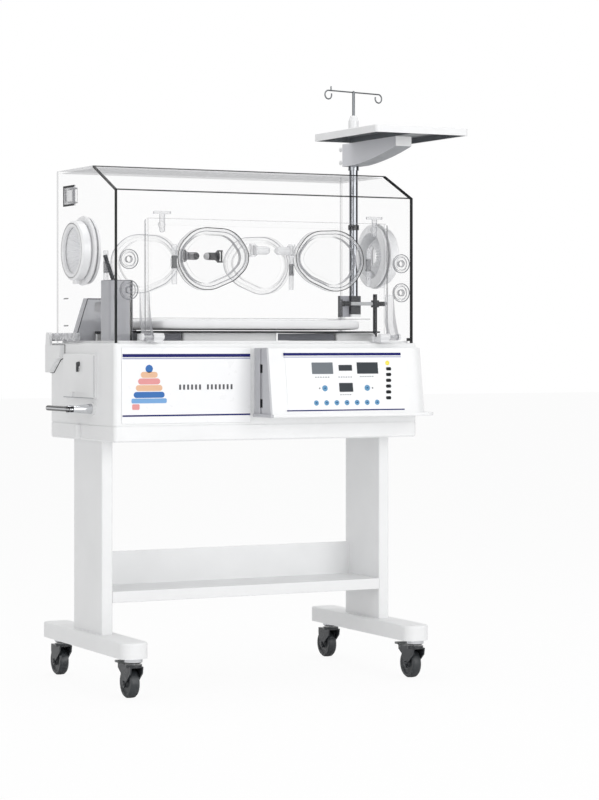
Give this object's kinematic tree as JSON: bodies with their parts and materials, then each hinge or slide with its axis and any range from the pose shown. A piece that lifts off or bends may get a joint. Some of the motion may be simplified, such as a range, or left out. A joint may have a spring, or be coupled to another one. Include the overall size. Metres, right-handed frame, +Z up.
{
  "type": "infant incubator",
  "caption": "Infant incubator: clear hood with hand ports over a tilting bed, on a white cabinet with controls, wheeled stand, shelf, accessory pole and tray.",
  "frame": {"origin": "on the floor under the middle of the whole outline; the cabinet's middle lies 69 mm to the left and 16 mm to the rear", "axes": "+Z up, -Y the front with the controls, +X to the right of someone who faces the front"},
  "size_m": [1.1445, 0.604, 1.597],
  "materials": {
    "frame_paint": "white powder coat, satin",
    "caster_steel": "bright zinc",
    "caster_fork": "black nylon",
    "caster_tyre": "dark grey rubber",
    "caster_pedal": "black nylon",
    "cabinet_white": "white moulded plastic, satin gloss",
    "fascia_white": "white overlay with thin blue stripes",
    "controller_white": "white moulded plastic",
    "membrane": "printed overlay with dark display windows",
    "cover_white": "white moulded plastic",
    "knob_grey": "grey plastic",
    "filter_paper": "pleated paper",
    "lever_steel": "white post with a chrome grip",
    "motor_case": "cast aluminium",
    "impeller": "black nylon",
    "heater_steel": "brushed steel",
    "tank_plastic": "translucent white plastic",
    "chamber_white": "white moulded plastic",
    "duct_grey": "smoked grey plastic",
    "deck_black": "black plastic plate",
    "clear_acrylic": "clear polished acrylic",
    "mattress_cover": "wipe-clean coated cloth",
    "hinge_grey": "die-cast metal",
    "bracket_white": "pale grey paint",
    "grommet_rubber": "translucent silicone",
    "iris_white": "white moulded plastic",
    "sleeve_cloth": "thin white cuff",
    "port_white": "white moulded plastic",
    "door_clear": "clear polished acrylic",
    "latch_white": "white moulded plastic",
    "bracket_grey": "grey paint, black block, chrome rail",
    "pole_steel": "polished steel tube",
    "arm_white": "white powder coat",
    "tray_white": "white moulded plastic",
    "hook_steel": "polished steel wire"
  },
  "bodies": {
    "root": {"side_frame_left": "frame_paint", "side_frame_right": "frame_paint", "storage_shelf": "frame_paint", "caster_plates": "caster_steel", "base_tray": "cabinet_white", "cabinet_shell": "cabinet_white", "front_fascia": "fascia_white", "controller_housing": "controller_white", "controller_membrane": "membrane", "filter_cover": "cover_white", "air_filter": "filter_paper", "fan_motor": "motor_case", "heater": "heater_steel", "water_tank": "tank_plastic", "chamber_base": "chamber_white", "air_duct_covers": "duct_grey", "canopy_hinge_brackets": "bracket_white", "pole_bracket": "bracket_grey", "pole_tube": "pole_steel"},
    "canopy": {"canopy": "clear_acrylic", "canopy_hinge_arms": "hinge_grey", "access_grommets": "grommet_rubber", "iris_flanges": "iris_white", "iris_sleeves": "sleeve_cloth", "rear_port_rims": "port_white", "panel_hinge_brackets": "latch_white"},
    "front_panel": {"front_panel": "clear_acrylic", "front_port_rims": "port_white", "panel_hinge_arms": "latch_white"},
    "panel_latch_left": {"panel_latch_left": "latch_white"},
    "panel_latch_right": {"panel_latch_right": "latch_white"},
    "iris_left": {"iris_ring_left": "iris_white"},
    "iris_right": {"iris_ring_right": "iris_white"},
    "bed": {"bed_deck": "deck_black", "bed_tray": "clear_acrylic", "mattress": "mattress_cover"},
    "tilt_lever": {"tilt_lever": "lever_steel"},
    "filter_knob": {"filter_knob": "knob_grey"},
    "fan": {"fan_impeller": "impeller"},
    "tray": {"tray_arm": "arm_white", "monitor_tray": "tray_white"},
    "hook": {"iv_hook": "hook_steel"},
    "swivel_fl": {"caster_fork_fl": "caster_fork"},
    "wheel_fl": {"caster_wheel_fl": "caster_tyre"},
    "brake_fl": {"caster_brake_fl": "caster_pedal"},
    "swivel_fr": {"caster_fork_fr": "caster_fork"},
    "wheel_fr": {"caster_wheel_fr": "caster_tyre"},
    "brake_fr": {"caster_brake_fr": "caster_pedal"},
    "swivel_rl": {"caster_fork_rl": "caster_fork"},
    "wheel_rl": {"caster_wheel_rl": "caster_tyre"},
    "swivel_rr": {"caster_fork_rr": "caster_fork"},
    "wheel_rr": {"caster_wheel_rr": "caster_tyre"},
    "door_front_left": {"port_door_front_left": "door_clear"},
    "latch_front_left": {"port_latch_front_left": "latch_white"},
    "door_front_right": {"port_door_front_right": "door_clear"},
    "latch_front_right": {"port_latch_front_right": "latch_white"},
    "door_rear_left": {"port_door_rear_left": "door_clear"},
    "latch_rear_left": {"port_latch_rear_left": "latch_white"},
    "door_rear_right": {"port_door_rear_right": "door_clear"},
    "latch_rear_right": {"port_latch_rear_right": "latch_white"}
  },
  "joints": [
    {"name": "caster_swivel_fl", "type": "hinge", "parent": "root", "child": "swivel_fl", "pos_m": [-0.469, -0.246, 0.09], "axis": [0, 0, 1], "continuous": true},
    {"name": "caster_roll_fl", "type": "hinge", "parent": "swivel_fl", "child": "wheel_fl", "pos_m": [-0.469, -0.222, 0.0375], "axis": [1, 0, 0], "continuous": true},
    {"name": "brake_pedal_fl", "type": "hinge", "parent": "swivel_fl", "child": "brake_fl", "pos_m": [-0.469, -0.193, 0.079], "axis": [-1, 0, 0], "range_deg": [0, 14]},
    {"name": "caster_swivel_fr", "type": "hinge", "parent": "root", "child": "swivel_fr", "pos_m": [0.331, -0.246, 0.09], "axis": [0, 0, 1], "continuous": true},
    {"name": "caster_roll_fr", "type": "hinge", "parent": "swivel_fr", "child": "wheel_fr", "pos_m": [0.331, -0.222, 0.0375], "axis": [1, 0, 0], "continuous": true},
    {"name": "brake_pedal_fr", "type": "hinge", "parent": "swivel_fr", "child": "brake_fr", "pos_m": [0.331, -0.193, 0.079], "axis": [-1, 0, 0], "range_deg": [0, 14]},
    {"name": "caster_swivel_rl", "type": "hinge", "parent": "root", "child": "swivel_rl", "pos_m": [-0.469, 0.224, 0.09], "axis": [0, 0, 1], "continuous": true},
    {"name": "caster_roll_rl", "type": "hinge", "parent": "swivel_rl", "child": "wheel_rl", "pos_m": [-0.469, 0.248, 0.0375], "axis": [1, 0, 0], "continuous": true},
    {"name": "caster_swivel_rr", "type": "hinge", "parent": "root", "child": "swivel_rr", "pos_m": [0.331, 0.224, 0.09], "axis": [0, 0, 1], "continuous": true},
    {"name": "caster_roll_rr", "type": "hinge", "parent": "swivel_rr", "child": "wheel_rr", "pos_m": [0.331, 0.248, 0.0375], "axis": [1, 0, 0], "continuous": true},
    {"name": "canopy_tilt", "type": "hinge", "parent": "root", "child": "canopy", "pos_m": [-0.069, 0.212, 0.893], "axis": [-1, 0, 0], "range_deg": [0, 38]},
    {"name": "front_panel_drop", "type": "hinge", "parent": "canopy", "child": "front_panel", "pos_m": [-0.069, -0.219, 0.893], "axis": [1, 0, 0], "range_deg": [0, 105]},
    {"name": "panel_latch_left_turn", "type": "hinge", "parent": "front_panel", "child": "panel_latch_left", "pos_m": [-0.372, -0.199, 1.173], "axis": [0, 1, 0], "range_deg": [0, 90]},
    {"name": "iris_left_turn", "type": "hinge", "parent": "canopy", "child": "iris_left", "pos_m": [-0.519, 0.016, 1.113], "axis": [-1, 0, 0], "range_deg": [0, 120]},
    {"name": "panel_latch_right_turn", "type": "hinge", "parent": "front_panel", "child": "panel_latch_right", "pos_m": [0.234, -0.199, 1.173], "axis": [0, -1, 0], "range_deg": [0, 90]},
    {"name": "iris_right_turn", "type": "hinge", "parent": "canopy", "child": "iris_right", "pos_m": [0.381, 0.016, 1.113], "axis": [1, 0, 0], "range_deg": [0, 120]},
    {"name": "port_door_front_left_swing", "type": "hinge", "parent": "front_panel", "child": "door_front_left", "pos_m": [-0.1295, -0.21, 1.113], "axis": [0, 0, 1], "range_deg": [0, 95]},
    {"name": "port_latch_front_left_press", "type": "hinge", "parent": "door_front_left", "child": "latch_front_left", "pos_m": [-0.346, -0.2079, 1.079], "axis": [0, 0, 1], "range_deg": [0, 12], "stiffness_Nm_per_rad": 0.05},
    {"name": "port_door_front_right_swing", "type": "hinge", "parent": "front_panel", "child": "door_front_right", "pos_m": [-0.0085, -0.21, 1.113], "axis": [0, 0, -1], "range_deg": [0, 95]},
    {"name": "port_latch_front_right_press", "type": "hinge", "parent": "door_front_right", "child": "latch_front_right", "pos_m": [0.208, -0.2079, 1.079], "axis": [0, 0, -1], "range_deg": [0, 12], "stiffness_Nm_per_rad": 0.05},
    {"name": "port_door_rear_left_swing", "type": "hinge", "parent": "canopy", "child": "door_rear_left", "pos_m": [-0.1295, 0.2195, 1.113], "axis": [0, 0, -1], "range_deg": [0, 95]},
    {"name": "port_latch_rear_left_press", "type": "hinge", "parent": "door_rear_left", "child": "latch_rear_left", "pos_m": [-0.346, 0.2174, 1.079], "axis": [0, 0, -1], "range_deg": [0, 12], "stiffness_Nm_per_rad": 0.05},
    {"name": "port_door_rear_right_swing", "type": "hinge", "parent": "canopy", "child": "door_rear_right", "pos_m": [-0.0085, 0.2195, 1.113], "axis": [0, 0, 1], "range_deg": [0, 95]},
    {"name": "port_latch_rear_right_press", "type": "hinge", "parent": "door_rear_right", "child": "latch_rear_right", "pos_m": [0.208, 0.2174, 1.079], "axis": [0, 0, 1], "range_deg": [0, 12], "stiffness_Nm_per_rad": 0.05},
    {"name": "bed_tilt", "type": "hinge", "parent": "root", "child": "bed", "pos_m": [-0.4, 0.016, 0.896], "axis": [0, -1, 0], "range_deg": [0, 8]},
    {"name": "tilt_lever_turn", "type": "hinge", "parent": "root", "child": "tilt_lever", "pos_m": [-0.509, -0.064, 0.711], "axis": [1, 0, 0], "range_deg": [0, 60]},
    {"name": "filter_knob_turn", "type": "hinge", "parent": "root", "child": "filter_knob", "pos_m": [-0.514, 0.008, 0.824], "axis": [-1, 0, 0], "range_deg": [0, 90]},
    {"name": "fan_spin", "type": "hinge", "parent": "root", "child": "fan", "pos_m": [-0.354, 0.011, 0.815], "axis": [0, 0, 1], "continuous": true},
    {"name": "tray_swivel", "type": "hinge", "parent": "root", "child": "tray", "pos_m": [0.426, 0.266, 1.4], "axis": [0, 0, 1], "range_deg": [-90, 90]},
    {"name": "hook_slide", "type": "slide", "parent": "root", "child": "hook", "axis": [0, 0, 1], "range_m": [0, 0.11]}
  ],
  "couplings": [
    {"joint": "tilt_lever_turn", "follows": "bed_tilt", "ratio": 7.5}
  ]
}
